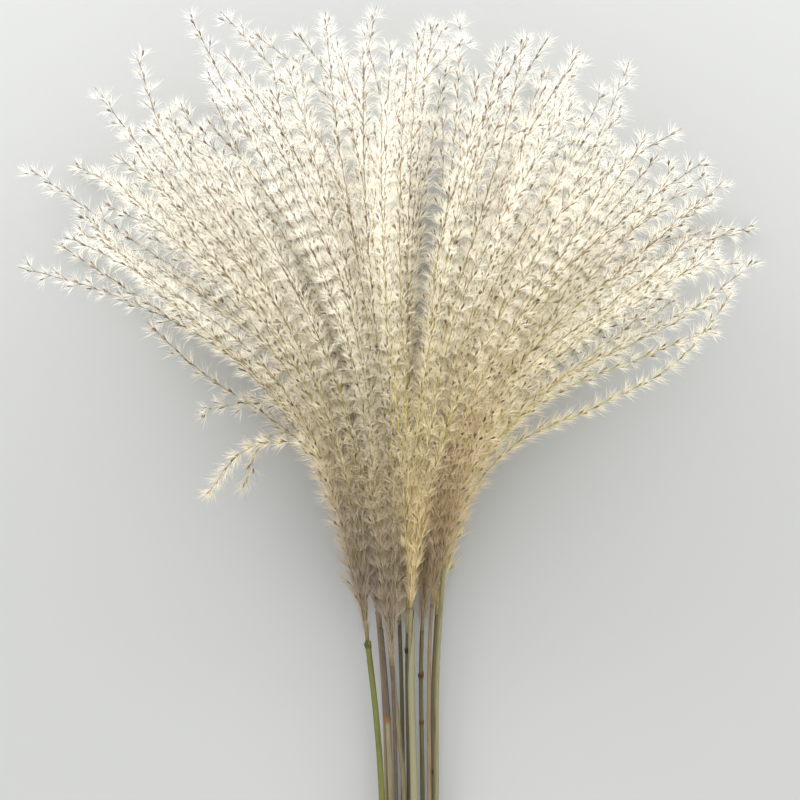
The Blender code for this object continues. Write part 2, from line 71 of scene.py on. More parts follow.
# A raceme's stalk, and the thicker one that carries the axis on to the end of the plume
STALK_SIDES = 3
STALK_FOOT = 0.50 * MM
END_STALK_FOOT = 0.70 * MM
STALK_TIP = 0.24 * MM
STALK_PIECE = 7 * MM
STALK_TAPER = 0.6
STALK_BEND = 0.2 * MM
STALK_SHADE = (0.3, 1.0)
STALK_PATCHES = 0.2
AXIS_SIDES = 6
AXIS_RINGS = 14
AXIS_FOOT = 1.1 * MM
AXIS_TOP = 0.7 * MM
AXIS_SHADE = 0.8

# Its pairs of spikelets, one on a short pedicel and one on a long one
PAIR_STEP = (8.2 * MM, 10.4 * MM)
FIRST_PAIR = 1 * MM
BARE_TIP = 1 * MM
TWIST_LENGTH = 120 * MM
PAIR_SPREAD = 0.7
SHORT_PEDICEL = (0.8 * MM, 1.6 * MM)
LONG_PEDICEL = (3.0 * MM, 4.6 * MM)
SHORT_LEAN = (radians(10), radians(26))
LONG_LEAN = (radians(18), radians(42))
SPIKELET_LEAN = (0.5, 1.0)
PEDICEL_RADIUS = 0.22 * MM
PEDICEL_INSIDE = 2.4 * MM
HUSK_LENGTH = (3.7 * MM, 5.1 * MM)
HUSK_WIDTH = (0.46 * MM, 0.64 * MM)
HUSK_FLATNESS = 0.6
HUSK_WIDEST = 0.60
HUSK_PARTING = (radians(1), radians(8))

# The silky hairs. Those of a tuft stand round the foot of a spikelet, longer and closer to the
# raceme low in the plume. Those of a brush lie along the foot of a plume
HAIRS = 38
HAIR_LENGTH = (6.5 * MM, 10.8 * MM)
HAIR_LEAN = (radians(16), radians(66))
HAIR_HALF_WIDTH = 0.095 * MM
LOW_LENGTH = 1.5
LOW_LEAN = 0.38
LOW_PLACE = 0.5
HAIR_BEND = 0.16
FLUFF = (0.5, 1.0)
BRUSH_HAIRS = 110
BRUSH_REACH = 90 * MM
BRUSH_CROWDING = 1.4
AXIS_HAIRS = 700
BRUSH_LENGTH = (9 * MM, 20 * MM)
BRUSH_LEAN = (radians(2), radians(19))
BRUSH_HALF_WIDTH = 0.11 * MM

# A straw, with a swelling at each joint and a slight waist above it
STRAW_SIDES = 18
STRAW_STEP = 6 * MM
JOINT_REACH = 3 * MM
JOINT_RINGS = 13
JOINT_HALF_LENGTH = 1.3 * MM
JOINT_SWELLING = 0.17
JOINT_WAIST = 0.06
SOLID_SWELLING = 1.1
HOLLOW_DEPTH = 12 * MM
HOLLOW_SHARE = 0.55
CUT_BEVEL = 0.12 * MM

# Its stains, counted without those at its joints, and the torn fibres round a frayed joint
STAINS = 4
STAIN_HALF_LENGTH = (4 * MM, 11 * MM)
STAIN_HALF_WIDTH = (0.25, 0.60)
STAIN_STRENGTH = (0.4, 1.0)
FRAYS = 16
FRAY_LENGTH = (2.2 * MM, 5.5 * MM)
FRAY_WIDTH = (0.35 * MM, 0.60 * MM)
FRAY_LEAN = (radians(3), radians(16))
FRAY_DEPTH = 0.15 * MM
FRAY_MARKS = (0.5, 0.85, 0.0, 0.0)

# The leaf sheath of reed 6, which opens towards its mouth and ends in a strip
SHEATH_REED = 6
SHEATH_COLUMNS = 22
SHEATH_ROWS = 60
SHEATH_GAP = 0.35 * MM
SHEATH_WALL = 0.28 * MM
SHEATH_STRIP = 13 * MM
SHEATH_SPLIT = 55 * MM
SHEATH_SLIT = 0.02
SHEATH_GAPE = 0.60
SHEATH_NARROWING = 0.93
SHEATH_WAVE = (0.12 * MM, 17 * MM)
SHEATH_OPENING = radians(165)


# Colours, as linear red, green and blue

Tone = namedtuple("Tone", "silk husk stalk")

FAIR_SILK = ((0.58, (0.97, 0.93, 0.79)), (1.00, (0.99, 0.98, 0.94)))

TONES = {
    "cream": Tone(
        silk=((0.00, (0.56, 0.46, 0.24)), (0.12, (0.74, 0.63, 0.37)), (0.30, (0.92, 0.83, 0.57)),
              *FAIR_SILK),
        husk=((0.00, (0.20, 0.15, 0.05)), (0.40, (0.17, 0.12, 0.05)),
              (0.75, (0.15, 0.10, 0.06)), (1.00, (0.12, 0.08, 0.065))),
        stalk=((0.00, (0.22, 0.19, 0.05)), (0.35, (0.52, 0.48, 0.09)),
               (0.65, (0.27, 0.21, 0.07)), (1.00, (0.17, 0.115, 0.065))),
    ),
    "gold": Tone(
        silk=((0.00, (0.74, 0.60, 0.34)), (0.12, (0.82, 0.69, 0.40)), (0.30, (0.92, 0.82, 0.55)),
              *FAIR_SILK),
        husk=((0.00, (0.28, 0.18, 0.05)), (0.40, (0.20, 0.13, 0.05)),
              (0.75, (0.16, 0.10, 0.055)), (1.00, (0.12, 0.08, 0.065))),
        stalk=((0.00, (0.30, 0.22, 0.10)), (0.35, (0.54, 0.47, 0.09)),
               (0.65, (0.28, 0.21, 0.07)), (1.00, (0.17, 0.115, 0.065))),
    ),
    "mauve": Tone(
        silk=((0.00, (0.29, 0.23, 0.19)), (0.12, (0.35, 0.28, 0.21)), (0.30, (0.70, 0.60, 0.42)),
              *FAIR_SILK),
        husk=((0.00, (0.10, 0.07, 0.05)), (0.40, (0.12, 0.08, 0.055)),
              (0.75, (0.12, 0.078, 0.06)), (1.00, (0.11, 0.07, 0.062))),
        stalk=((0.00, (0.14, 0.11, 0.05)), (0.35, (0.42, 0.37, 0.09)),
               (0.65, (0.23, 0.17, 0.07)), (1.00, (0.16, 0.105, 0.065))),
    ),
    "brown": Tone(
        silk=((0.00, (0.26, 0.19, 0.13)), (0.12, (0.46, 0.34, 0.20)), (0.30, (0.82, 0.69, 0.44)),
              *FAIR_SILK),
        husk=((0.00, (0.11, 0.065, 0.035)), (0.40, (0.14, 0.085, 0.045)),
              (0.75, (0.14, 0.09, 0.055)), (1.00, (0.12, 0.075, 0.06))),
        stalk=((0.00, (0.17, 0.12, 0.05)), (0.35, (0.48, 0.40, 0.09)),
               (0.65, (0.25, 0.18, 0.07)), (1.00, (0.17, 0.11, 0.065))),
    ),
}

RUSTY_HUSK = (0.24, 0.125, 0.055)
DULL_SILK = (0.42, 0.30, 0.17)
GLOWING_SILK = (0.97, 0.94, 0.86)
SCORCHED = (0.07, 0.04, 0.025)
BLEACHED = (0.55, 0.48, 0.32)
PITH = (0.70, 0.62, 0.44)

# Each reed: the tone of its plume, the colours of its straw below and above a turning place,
# that place and how softly the colour turns there, in Y, the colour of its joints, and whether
# its topmost joint is frayed
Reed = namedtuple("Reed", "number tone low high turn soft joint frayed")

REEDS = (
    Reed(1, "mauve", (0.082, 0.092, 0.003), (0.085, 0.105, 0.012), -150 * MM, 120 * MM,
         (0.060, 0.070, 0.012), True),
    Reed(2, "mauve", (0.260, 0.225, 0.135), (0.090, 0.062, 0.056), -102 * MM, 5 * MM,
         (0.240, 0.100, 0.025), False),
    Reed(3, "mauve", (0.044, 0.020, 0.020), (0.055, 0.032, 0.030), -120 * MM, 90 * MM,
         (0.040, 0.020, 0.020), False),
    Reed(4, "brown", (0.210, 0.185, 0.100), (0.290, 0.220, 0.130), -60 * MM, 60 * MM,
         (0.120, 0.070, 0.030), False),
    Reed(5, "cream", (0.050, 0.050, 0.014), (0.055, 0.050, 0.018), -150 * MM, 150 * MM,
         (0.025, 0.020, 0.008), False),
    Reed(6, "gold", (0.150, 0.130, 0.085), (0.190, 0.175, 0.105), -120 * MM, 150 * MM,
         (0.150, 0.100, 0.045), False),
    Reed(7, "brown", (0.080, 0.074, 0.030), (0.095, 0.058, 0.026), -60 * MM, 24 * MM,
         (0.090, 0.040, 0.014), True),
    Reed(8, "brown", (0.160, 0.115, 0.064), (0.150, 0.110, 0.062), -120 * MM, 150 * MM,
         (0.100, 0.055, 0.030), False),
    Reed(9, "cream", (0.078, 0.056, 0.022), (0.090, 0.068, 0.028), -120 * MM, 150 * MM,
         (0.040, 0.028, 0.012), False),
    Reed(10, "cream", (0.185, 0.172, 0.092), (0.200, 0.195, 0.102), -110 * MM, 120 * MM,
         (0.120, 0.090, 0.040), False),
    Reed(11, "cream", (0.068, 0.056, 0.022), (0.085, 0.058, 0.024), -118 * MM, 12 * MM,
         (0.035, 0.028, 0.010), True),
    Reed(12, "mauve", (0.180, 0.130, 0.078), (0.160, 0.118, 0.075), -120 * MM, 150 * MM,
         (0.090, 0.055, 0.035), False),
)


class Amount:
    """A number that varies over a surface, so that materials can be written as formulas."""

    def __init__(self, recipe, socket):
        self.recipe = recipe
        self.socket = socket

    def __add__(self, other):
        return self.recipe.maths("ADD", self, other)

    def __sub__(self, other):
        return self.recipe.maths("SUBTRACT", self, other)

    def __rsub__(self, other):
        return self.recipe.maths("SUBTRACT", other, self)

    def __mul__(self, other):
        return self.recipe.maths("MULTIPLY", self, other)

    def __pow__(self, other):
        return self.recipe.maths("POWER", self, other)

    __radd__ = __add__
    __rmul__ = __mul__


class Recipe:
    """The nodes of one material."""

    def __init__(self, name):
        self.material = bpy.data.materials.new(name)
        self.material.use_nodes = True
        self.tree = self.material.node_tree
        self.tree.nodes.clear()

    def node(self, kind, settings, values, output=0):
        """A node of a kind. Its settings are made first, then its sockets' values or links."""
        node = self.tree.nodes.new(kind)
        for name, setting in settings.items():
            if name == "stops":
                self.set_stops(node.color_ramp, setting)
            else:
                setattr(node, name, setting)
        for place, value in values.items():
            socket = node.inputs[place]
            if isinstance(value, Amount):
                self.tree.links.new(value.socket, socket)
            elif socket.type == "RGBA" and len(value) == 3:
                socket.default_value = (*value, 1.0)
            else:
                socket.default_value = value
        return Amount(self, node.outputs[output]) if node.outputs else None

    def set_stops(self, ramp, stops):
        while len(ramp.elements) < len(stops):
            ramp.elements.new(0.5)
        for element, (place, colour) in zip(ramp.elements, stops):
            element.position = place
            element.color = (*colour, 1.0)

    def maths(self, operation, first, second):
        settings = {"operation": operation, "use_clamp": False}
        return self.node("ShaderNodeMath", settings, {0: first, 1: second})

    def mark(self, name):
        """A number that the mesh carries at each of its corners."""
        return self.node("ShaderNodeAttribute", {"attribute_name": name}, {}, output=2)

    def ramp(self, amount, stops):
        return self.node("ShaderNodeValToRGB", {"stops": stops}, {0: amount})

    def blend(self, share, first, last):
        """A colour between two others."""
        settings = {"data_type": "RGBA"}
        return self.node("ShaderNodeMix", settings, {0: share, 6: first, 7: last}, output=2)

    def grain(self, scale, detail=3.0):
        """Noise, finer the greater its scale is along each axis."""
        place = self.node("ShaderNodeTexCoord", {}, {}, output=3)
        mapped = self.node("ShaderNodeMapping", {}, {"Vector": place, "Scale": scale})
        values = {"Vector": mapped, "Scale": 1.0, "Detail": detail}
        return self.node("ShaderNodeTexNoise", {}, values)

    def surface(self, colour, roughness, gloss, **more):
        values = {"Base Color": colour, "Roughness": roughness, "Specular IOR Level": gloss}
        return self.node("ShaderNodeBsdfPrincipled", {}, {**values, **more})

    def finish(self, surface):
        self.node("ShaderNodeOutputMaterial", {}, {"Surface": surface})
        return self.material


def silk_finish(name, tone):
    """Silky hairs: fair and glowing at the top of a plume, darker and duller at its foot."""
    recipe = Recipe(name)
    place = recipe.mark("place")
    shade = recipe.mark("shade")
    colour = recipe.ramp(place, tone.silk)
    dull = recipe.blend(0.5, colour, DULL_SILK)
    colour = recipe.blend((1 - shade) ** 2.2 * (1 - place) * 0.75, colour, dull)
    skin = recipe.surface(colour, 0.5, 0.2)
    glow = recipe.node("ShaderNodeBsdfTranslucent", {}, {"Color": GLOWING_SILK})
    share = place * 0.5 + 0.1
    return recipe.finish(recipe.node("ShaderNodeMixShader", {}, {0: share, 1: skin, 2: glow}))


def husk_finish(name, tone):
    """Papery husks of the spikelets, each a little lighter or darker than the next."""
    recipe = Recipe(name)
    colour = recipe.ramp(recipe.mark("place"), tone.husk)
    shade = recipe.mark("shade")
    fair = recipe.blend(0.3, colour, (0.40, 0.28, 0.12))
    dark = recipe.blend(0.4, colour, (0.05, 0.035, 0.03))
    colour = recipe.blend(shade, dark, fair)
    colour = recipe.blend((shade - 0.93) * 15, colour, RUSTY_HUSK)
    return recipe.finish(recipe.surface(colour, 0.6, 0.2))


def stalk_finish(name, tone):
    """The thin stalks of the racemes, and the axis and pedicels."""
    recipe = Recipe(name)
    colour = recipe.ramp(recipe.mark("place"), tone.stalk)
    dark = recipe.blend(0.4, colour, (0.12, 0.075, 0.035))
    return recipe.finish(recipe.surface(recipe.blend(recipe.mark("shade"), dark, colour), 0.5, 0.2))


def straw_finish(name, reed):
    """A dry straw with fine streaks along it, tinted joints, brown stains and a pale cut end."""
    recipe = Recipe(name)
    streaks = recipe.grain((1500, 22, 1500))
    patches = recipe.grain((160, 14, 160), 2.0)
    colour = recipe.blend(recipe.mark("place"), reed.low, reed.high)
    dark = recipe.blend(0.4, colour, (0.05, 0.04, 0.02))
    fair = recipe.blend(0.12, colour, BLEACHED)
    colour = recipe.blend(streaks * 1.6 - 0.3, dark, fair)
    colour = recipe.blend((patches - 0.5) * 1.4, colour, fair)
    colour = recipe.blend(recipe.mark("stain") * (streaks + 0.4), colour, SCORCHED)
    colour = recipe.blend(recipe.mark("joint"), colour, reed.joint)
    colour = recipe.blend(recipe.mark("cut"), colour, recipe.blend(streaks, PITH, BLEACHED))
    bump = recipe.node("ShaderNodeBump", {}, {
        "Strength": 0.35,
        "Distance": 0.0004,
        "Height": streaks,
    })
    return recipe.finish(recipe.surface(colour, 0.65 - streaks * 0.2, 0.1, Normal=bump))


def sheath_finish(name):
    """A dry leaf sheath: beige with fine ribs, paler and greener along one edge."""
    recipe = Recipe(name)
    ribs = recipe.grain((2200, 12, 2200), 2.0)
    patches = recipe.grain((140, 16, 140), 2.0)
    edge = recipe.mark("edge")
    colour = recipe.blend(edge, (0.140, 0.118, 0.080), (0.215, 0.215, 0.130))
    dark = recipe.blend(0.35, colour, (0.16, 0.12, 0.06))
    colour = recipe.blend(ribs * 1.5 - 0.25, dark, colour)
    colour = recipe.blend((patches - 0.5) * 1.2, colour, (0.22, 0.17, 0.11))
    bump = recipe.node("ShaderNodeBump", {}, {"Strength": 0.4, "Distance": 0.0004, "Height": ribs})
    return recipe.finish(recipe.surface(colour, 0.6, 0.12, Normal=bump))


# Where faces lie on the flat chart of a piece
CHART_BANDS = 3
CHART_MARGIN = 0.02
CHART_WIDTH = 0.006
CHART_STRAW = 0.94
CHART_CORNERS = np.array([(0, 0), (1, 0), (1, 1), (0, 1)]) * CHART_WIDTH


class Heap:
    """Gathers many small shapes into one mesh. Each corner carries its marks."""

    def __init__(self):
        self.corners = []
        self.marks = []
        self.faces = {3: [], 4: []}
        self.finishes = {3: [], 4: []}
        self.charts = {3: [], 4: []}
        self.count = 0

    def add(self, shapes, faces, finish, marks, charts=None):
        """Shapes as rows of corners that share their faces, with marks for every corner."""
        number, size = shapes.shape[:2]
        starts = self.count + size * np.arange(number)
        marks = marks.reshape(number * size, -1)
        for sides in self.faces:
            chosen = [place for place, face in enumerate(faces) if len(face) == sides]
            if not chosen:
                continue
            turns = np.array([faces[place] for place in chosen])
            turns = (starts[:, None, None] + turns).reshape(-1, sides)
            if charts is None:
                spots = self.spots_of_marks(marks[turns - self.count], finish)
            else:
                spots = np.array([charts[shape * len(faces) + place]
                                  for shape in range(number) for place in chosen])
            self.faces[sides].append(turns)
            self.finishes[sides].append(np.full(len(turns), finish))
            self.charts[sides].append(spots)
        self.corners.append(shapes.reshape(-1, 3))
        self.marks.append(marks)
        self.count += number * size

    def spots_of_marks(self, marks, finish):
        """A small square on the chart for each face, the same for faces with the same marks."""
        place, shade = marks[..., 0].mean(axis=1), marks[..., 1].mean(axis=1)
        inside = 1 - 2 * CHART_MARGIN
        up_chart = (finish + CHART_MARGIN + inside * shade) / CHART_BANDS
        spots = np.stack([CHART_MARGIN + inside * place, up_chart], axis=1)
        return spots[:, None] + CHART_CORNERS[None, : marks.shape[1]]

    def build(self, name, finishes, mark_names):
        corners = np.concatenate(self.corners)
        corners[:, 2] = np.maximum(corners[:, 2], LOWEST)
        kinds = [sides for sides in self.faces if self.faces[sides]]
        faces = [np.concatenate(self.faces[sides]) for sides in kinds]
        sizes = np.concatenate([np.full(len(group), group.shape[1]) for group in faces])
        turns = np.concatenate([group.ravel() for group in faces])
        chosen = np.concatenate([np.concatenate(self.finishes[sides]) for sides in kinds])
        charts = np.concatenate([np.concatenate(self.charts[sides]).ravel() for sides in kinds])
        mesh = bpy.data.meshes.new(name)
        mesh.vertices.add(len(corners))
        mesh.vertices.foreach_set("co", corners.astype(np.float32).ravel())
        mesh.loops.add(len(turns))
        mesh.loops.foreach_set("vertex_index", turns.astype(np.int32))
        mesh.polygons.add(len(sizes))
        starts = np.concatenate([[0], np.cumsum(sizes)[:-1]])
        mesh.polygons.foreach_set("loop_start", starts.astype(np.int32))
        mesh.polygons.foreach_set("material_index", chosen.astype(np.int32))
        mesh.polygons.foreach_set("use_smooth", np.ones(len(sizes), dtype=bool))
        marks = np.concatenate(self.marks)
        for column, mark_name in enumerate(mark_names):
            mark = mesh.attributes.new(mark_name, "FLOAT", "POINT")
            mark.data.foreach_set("value", marks[:, column].astype(np.float32))
        chart = mesh.uv_layers.new(name="OFBake")
        chart.data.foreach_set("uv", charts.astype(np.float32))
        mesh.update(calc_edges=True)
        for finish in finishes:
            mesh.materials.append(finish)
        piece = bpy.data.objects.new(name, mesh)
        bpy.context.scene.collection.objects.link(piece)
        return piece


class Line:
    """A smooth line through points, measured along its length."""

    def __init__(self, points, samples=400):
        gaps = np.linalg.norm(np.diff(points, axis=0), axis=1)
        slopes = np.diff(points, axis=0) / gaps[:, None]
        weights = gaps[1:] / (gaps[1:] + gaps[:-1])
        inner = slopes[:-1] * weights[:, None] + slopes[1:] * (1 - weights[:, None])
        ways = np.vstack([1.5 * slopes[0] - 0.5 * inner[0], inner,
                          1.5 * slopes[-1] - 0.5 * inner[-1]])
        spot = np.linspace(0, len(gaps) - 1e-9, samples)
        run = spot.astype(int)
        t = (spot - run)[:, None]
        gap = gaps[run][:, None]
        self.points = (
            points[run] * (2 * t**3 - 3 * t**2 + 1)
            + ways[run] * gap * (t**3 - 2 * t**2 + t)
            + points[run + 1] * (3 * t**2 - 2 * t**3)
            + ways[run + 1] * gap * (t**3 - t**2)
        )
        steps = np.linalg.norm(np.diff(self.points, axis=0), axis=1)
        self.lengths = np.concatenate([[0], np.cumsum(steps)])
        self.length = self.lengths[-1]

    def at(self, lengths):
        return np.stack([np.interp(lengths, self.lengths, self.points[:, axis])
                         for axis in range(3)], axis=-1)

    def way(self, lengths):
        """The direction of the line at lengths along it."""
        step = self.length / len(self.points)
        inside = np.clip(lengths, step, self.length - step)
        return unit(self.at(inside + step) - self.at(inside - step))


def unit(vectors):
    return vectors / np.maximum(np.linalg.norm(vectors, axis=-1, keepdims=True), 1e-12)


def across(ways):
    """Two directions square to each way and to each other: one level, and one upwards."""
    level = unit(np.cross(ways, (0.0, 0.0, 1.0)))
    return level, np.cross(level, ways)


def between(chance, limits, number):
    return chance.uniform(limits[0], limits[1], number)


def smooth(values):
    values = np.clip(values, 0, 1)
    return values * values * (3 - 2 * values)


def hump(values):
    return np.exp(-(values**2))


def joined_corners(item):
    """The corners of a solid, each once, and for each the corners that it is joined to."""
    mesh = item.data
    corners = np.empty(len(mesh.vertices) * 3)
    mesh.vertices.foreach_get("co", corners)
    places = np.round(corners.reshape(-1, 3) / SAME_PLACE).astype(int)
    places, index = np.unique(places, axis=0, return_inverse=True)
    index = index.ravel()
    joined = [set() for _ in places]
    for face in mesh.polygons:
        around = [int(index[corner]) for corner in face.vertices]
        for first, second in zip(around, around[1:] + around[:1]):
            joined[first].add(second)
            joined[second].add(first)
    return places * SAME_PLACE, joined


def straw_rings(node):
    """The middles and half widths of a stem's rings, from its cut end to its top."""
    corners, _ = joined_corners(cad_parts[node])
    rings = corners[np.argsort(corners[:, 1])].reshape(-1, STRAW_SOLID_SIDES, 3)
    middles = rings.mean(axis=1)
    widths = np.linalg.norm(rings - middles[:, None], axis=2).mean(axis=1)
    return middles, widths


def raceme_rings(node, foot):
    """For each raceme of a plume, the middles of its rings from its root to its tip."""
    corners, joined = joined_corners(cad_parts[node])
    racemes = []
    for tip, around in enumerate(joined):
        if len(around) != 4 or np.linalg.norm(corners[tip] - foot) < SHORTEST_RACEME:
            continue
        middles = [corners[tip]]
        passed = {tip}
        ring = around
        for _ in range(RACEME_SOLID_RINGS):
            middles.append(corners[sorted(ring)].mean(axis=0))
            passed = passed | ring
            ring = set().union(*(joined[corner] for corner in ring)) - passed
        racemes.append(np.array(middles[::-1]))
    return sorted(racemes, key=lambda middles: np.linalg.norm(middles[0] - foot))


def add_skin(heap, rows, finish, marks, chart_box=None):
    """A closed skin over rings of corners. Its walls and both its ends face outwards."""
    count, sides = rows.shape[:2]
    faces = []
    charts = []
    for row in range(count - 1):
        low, high = row * sides, (row + 1) * sides
        for side in range(sides):
            after = (side + 1) % sides
            faces.append((low + side, high + side, high + after, low + after))
            charts.append(((side, row), (side, row + 1), (side + 1, row + 1), (side + 1, row)))
    last = (count - 1) * sides
    for side in range((sides - 1) // 2):
        facing = sides - 1 - side
        ends = [side, side + 1, facing - 1, facing]
        spots = [(side, 0), (side + 1, 0), (side + 1, 1), (side, 1)]
        if ends[1] == ends[2]:
            ends.pop(2)
            spots.pop(2)
        faces.append(tuple(ends))
        charts.append(tuple(spots))
        faces.append(tuple(last + corner for corner in reversed(ends)))
        charts.append(tuple(spots))
    if chart_box:
        low, high = np.array(chart_box[:2]), np.array(chart_box[2:])
        scale = (high - low) / (sides, count - 1)
        charts = [tuple(low + np.array(spot) * scale for spot in face) for face in charts]
    marks = np.broadcast_to(marks, (count, sides, marks.shape[-1]))
    heap.add(rows.reshape(1, -1, 3), faces, finish, marks, charts if chart_box else None)


def ring_arms(line, lengths, angles):
    """Arms from a line out to the corners of rings, of unit length."""
    level, up = across(line.way(lengths))
    angles = np.broadcast_to(angles, (len(lengths), np.shape(angles)[-1]))[..., None]
    return level[:, None] * np.cos(angles) + up[:, None] * np.sin(angles)


def tube(heap, line, lengths, widths, sides, finish, marks, offsets=0.0, chart_box=None):
    """A round tube along a line, with a ring at each of the lengths."""
    arms = ring_arms(line, lengths, 2 * pi * np.arange(sides) / sides)
    rows = (line.at(lengths) + offsets)[:, None] + arms * widths[:, None, None]
    add_skin(heap, rows, finish, marks, chart_box)


def place_of(points, foot):
    """How far up its plume a point is, from 0 to 1."""
    return np.clip(np.linalg.norm(points - foot, axis=-1) / PLUME_REACH, 0, 1)


def add_stalk(heap, chance, line, foot, foot_width):
    """The stalk of a raceme, a little bent at each pair of spikelets."""
    count = max(int(line.length / STALK_PIECE), 8)
    lengths = np.linspace(0, line.length, count)
    widths = foot_width + (STALK_TIP - foot_width) * (lengths / line.length) ** STALK_TAPER
    level, up = across(line.way(lengths))
    bend = np.where(np.arange(count) % 2, 1, -1) * STALK_BEND
    offsets = level * bend[:, None] + up * (bend * chance.uniform(-0.6, 0.6))[:, None]
    patches = chance.uniform(-STALK_PATCHES, STALK_PATCHES, count)
    shade = np.clip(chance.uniform(*STALK_SHADE) + patches, 0, 1)
    marks = np.stack([place_of(line.at(lengths), foot), shade], axis=1)[:, None]
    tube(heap, line, lengths, widths, STALK_SIDES, STALK, marks, offsets)


def spikelets_on(chance, line, foot):
    """Where the spikelets of a raceme stand: the root, foot, direction and marks of each."""
    steps = between(chance, PAIR_STEP, int(line.length / PAIR_STEP[0]))
    along = FIRST_PAIR + np.cumsum(steps)
    along = along[along < line.length - BARE_TIP]
    count = len(along)
    ways = line.way(along)
    level, up = across(ways)
    twist = chance.uniform(0, pi) + chance.uniform(-1, 1) * along / TWIST_LENGTH
    turn = twist + pi * (np.arange(count) % 2)
    found = []
    for pedicel, lean in ((SHORT_PEDICEL, SHORT_LEAN), (LONG_PEDICEL, LONG_LEAN)):
        angle = turn + chance.uniform(-PAIR_SPREAD, PAIR_SPREAD, count)
        outward = level * np.cos(angle)[:, None] + up * np.sin(angle)[:, None]
        tilt = between(chance, lean, count)[:, None]
        root = line.at(along)
        reach = between(chance, pedicel, count)[:, None]
        stand = root + (ways * np.cos(tilt) + outward * np.sin(tilt)) * reach
        tilt = tilt * between(chance, SPIKELET_LEAN, count)[:, None]
        way = ways * np.cos(tilt) + outward * np.sin(tilt)
        found.append((root, stand, way, chance.uniform(0, 1, count)))
        turn = turn + pi
    root, stand, way, shade = (np.concatenate(parts) for parts in zip(*found))
    return root, stand, way, np.stack([place_of(stand, foot), shade], axis=1)


def add_pedicels(heap, root, stand, way, marks):
    """Thin three-sided pedicels that taper from the stalk into each spikelet."""
    level, up = across(unit(stand - root))
    angles = 2 * pi * np.arange(3) / 3
    arms = level[:, None] * np.cos(angles)[:, None] + up[:, None] * np.sin(angles)[:, None]
    base = root[:, None] + arms * PEDICEL_RADIUS
    shapes = np.concatenate([base, (stand + way * PEDICEL_INSIDE)[:, None]], axis=1)
    faces = [(0, 1, 2), (0, 3, 1), (1, 3, 2), (2, 3, 0)]
    heap.add(shapes, faces, STALK, np.repeat(marks[:, None], 4, axis=1))


def add_blades(heap, stand, way, broad, keel, length, width, widest, finish, marks, charts=None):
    """Closed slender blades, flat below and with a keel above, pointed at both ends."""
    waist = stand + way * length * widest
    shapes = np.stack([
        stand,
        waist + broad * width,
        waist + keel,
        waist - broad * width,
        stand + way * length,
    ], axis=1)
    faces = [(0, 2, 1), (0, 3, 2), (0, 1, 3), (4, 1, 2), (4, 2, 3), (4, 3, 1)]
    heap.add(shapes, faces, finish, np.repeat(marks[:, None], 5, axis=1), charts)


def add_husks(heap, chance, stand, way, marks):
    """The two husks of each spikelet: wedges, broadest beyond their middles and a little parted."""
    count = len(stand)
    length = between(chance, HUSK_LENGTH, count)[:, None]
    width = between(chance, HUSK_WIDTH, count)[:, None]
    level, up = across(way)
    roll = chance.uniform(0, pi, count)[:, None]
    broad = level * np.cos(roll) + up * np.sin(roll)
    parting = between(chance, HUSK_PARTING, count)[:, None]
    for side in (-1, 1):
        along = way * np.cos(parting) + broad * np.sin(parting) * side
        thin = np.cross(way, broad) * width
        edge = np.cross(along, thin / width)
        keel = thin * HUSK_FLATNESS * side
        add_blades(heap, stand, along, -edge * side, keel, length, width, HUSK_WIDEST, HUSK, marks)


def add_hairs(heap, chance, stand, way, place, length, lean, half_width):
    """Silky hairs that fan out from points: thin blades, pointed at both ends and a little bent."""
    count = len(stand)
    level, up = across(way)
    turn = chance.uniform(0, 2 * pi, count)[:, None]
    outward = level * np.cos(turn) + up * np.sin(turn)
    length, lean = length[:, None], lean[:, None]
    along = way * np.cos(lean) + outward * np.sin(lean)
    bend = chance.normal(0, HAIR_BEND, (count, 3)) - outward * HAIR_BEND
    middle = stand + along * length * 0.5
    tip = middle + unit(along - bend) * length * 0.5
    edge = unit(np.cross(along, chance.normal(0, 1, (count, 3)))) * half_width
    shapes = np.stack([stand, middle - edge, middle + edge, tip], axis=1)
    marks = np.stack([place, chance.uniform(0, 1, count)], axis=1)[:, None]
    heap.add(shapes, [(0, 2, 1), (1, 2, 3)], SILK, np.repeat(marks, 4, axis=1))


def add_tufts(heap, chance, stand, way, place):
    """The tuft of hairs at the foot of each spikelet. Some racemes are fluffier than others."""
    fluff = chance.uniform(*FLUFF)
    every = np.tile(np.arange(len(stand)), HAIRS)
    kept = every[chance.uniform(0, 1, len(every)) < fluff]
    height = smooth(place[kept] / LOW_PLACE)
    length = between(chance, HAIR_LENGTH, len(kept)) * (LOW_LENGTH + (1 - LOW_LENGTH) * height)
    lean = between(chance, HAIR_LEAN, len(kept)) * (LOW_LEAN + (1 - LOW_LEAN) * height)
    add_hairs(heap, chance, stand[kept], way[kept], place[kept], length, lean, HAIR_HALF_WIDTH)


def add_brush(heap, chance, line, foot, number):
    """Long hairs that lie close along the foot of a plume."""
    along = chance.uniform(0, 1, number) ** BRUSH_CROWDING * min(BRUSH_REACH, line.length)
    stand = line.at(along)
    length = between(chance, BRUSH_LENGTH, number)
    lean = between(chance, BRUSH_LEAN, number)
    place = place_of(stand, foot)
    add_hairs(heap, chance, stand, line.way(along), place, length, lean, BRUSH_HALF_WIDTH)


SILK, HUSK, STALK = 0, 1, 2


def plume_axis(racemes, foot):
    """The line of a plume's axis, from its foot through its whorls to its end raceme."""
    roots = np.array([middles[0] for middles in racemes])
    whorls = [roots[start : start + RACEMES_A_WHORL].mean(axis=0)
              for start in range(0, len(roots) - 1, RACEMES_A_WHORL)]
    return Line(np.array([foot, *whorls, roots[-1]]), 60)


